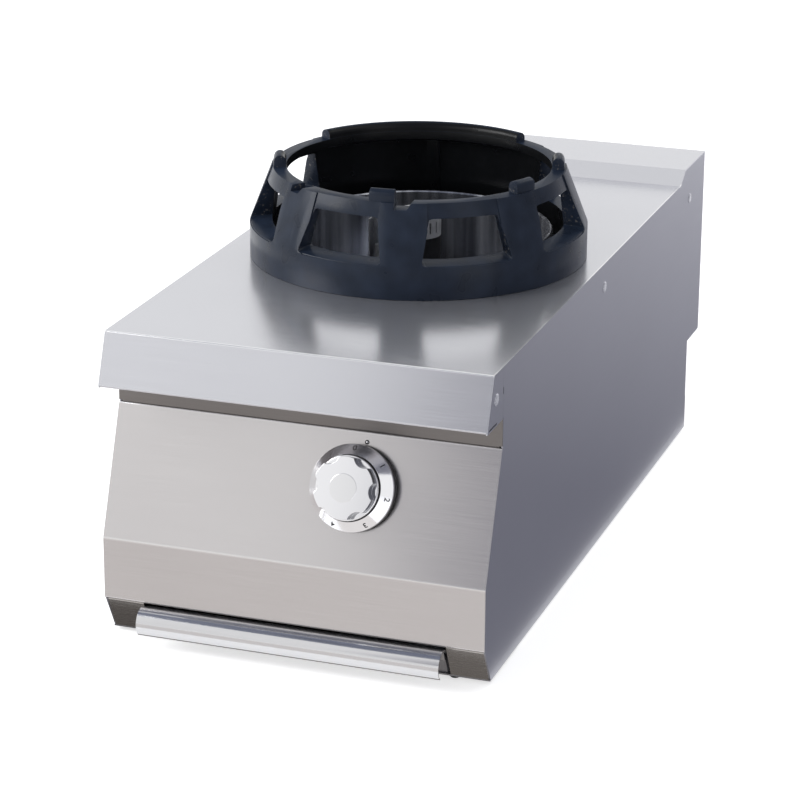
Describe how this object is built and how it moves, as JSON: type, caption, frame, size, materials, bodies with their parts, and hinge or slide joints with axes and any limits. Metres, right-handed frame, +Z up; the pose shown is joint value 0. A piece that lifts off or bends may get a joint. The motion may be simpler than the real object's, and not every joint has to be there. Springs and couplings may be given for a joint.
{
  "type": "wok range",
  "caption": "Table-top gas wok range with an open cast iron wok ring, a sloped control panel with one chrome knob, and a drip tray.",
  "frame": {"origin": "centre of the bounding box at its lowest point, on the surface that the range stands on", "axes": "+Z up, -Y to the front where the cook stands, +X to the cook's right"},
  "size_m": [0.4024, 0.8659, 0.4275],
  "materials": {
    "stainless": "brushed",
    "dark_stainless": "satin",
    "polished_steel": "polished",
    "cast_iron": "satin black",
    "burner_steel": "machined",
    "burner_iron": "matt black",
    "brass": "machined",
    "copper": "drawn",
    "zinc_plate": "zinc plated",
    "cast_aluminium": "as cast",
    "chrome": "polished",
    "glide_plastic": "matt"
  },
  "bodies": {
    "casing": {"air_shutter": "zinc_plate", "base_glides": "glide_plastic", "base_panel": "stainless", "bowl_screws": "zinc_plate", "burner_body": "burner_iron", "burner_bowl": "polished_steel", "burner_bracket": "zinc_plate", "burner_crown": "burner_steel", "burner_pipe": "copper", "control_panel": "stainless", "front_apron": "dark_stainless", "front_rail": "dark_stainless", "gas_valve": "cast_aluminium", "index_stud": "chrome", "injector": "brass", "injector_holder": "brass", "inlet_fitting": "brass", "left_side_panel": "stainless", "mixing_tube": "zinc_plate", "pilot_burner": "zinc_plate", "pilot_pipe": "copper", "pilot_shield": "zinc_plate", "pipe_clips": "zinc_plate", "rear_panel": "stainless", "rear_upstand": "stainless", "right_side_panel": "stainless", "side_screws": "zinc_plate", "supply_pipe": "zinc_plate", "thermocouple": "zinc_plate", "thermocouple_lead": "copper", "tray_runners": "zinc_plate", "worktop": "stainless"},
    "wok_ring_body": {"wok_ring": "cast_iron"},
    "burner_cap_body": {"burner_cap": "burner_steel"},
    "drip_tray_body": {"drip_tray": "stainless", "tray_handle": "polished_steel"},
    "push_body": {"push_collar": "brass"},
    "knob_body": {"knob_grip": "chrome", "knob_disc": "chrome", "dial_ring": "chrome", "valve_stem": "zinc_plate"}
  },
  "joints": [
    {"name": "wok_ring_lift", "type": "slide", "parent": "casing", "child": "wok_ring_body", "axis": [0, 0, 1], "range_m": [0, 0.12]},
    {"name": "burner_cap_lift", "type": "slide", "parent": "casing", "child": "burner_cap_body", "axis": [0, 0, 1], "range_m": [0, 0.03]},
    {"name": "drip_tray_slide", "type": "slide", "parent": "casing", "child": "drip_tray_body", "axis": [0, -1, 0], "range_m": [0, 0.45]},
    {"name": "knob_push", "type": "slide", "parent": "casing", "child": "push_body", "axis": [0, 0.9396, -0.3423], "range_m": [0, 0.0035], "stiffness_N_per_m": 2500, "springref_m": -0.003},
    {"name": "knob_turn", "type": "hinge", "parent": "push_body", "child": "knob_body", "pos_m": [0.0575, -0.38725, 0.18485], "axis": [0, -0.9396, 0.3423], "range_deg": [0, 208]}
  ]
}
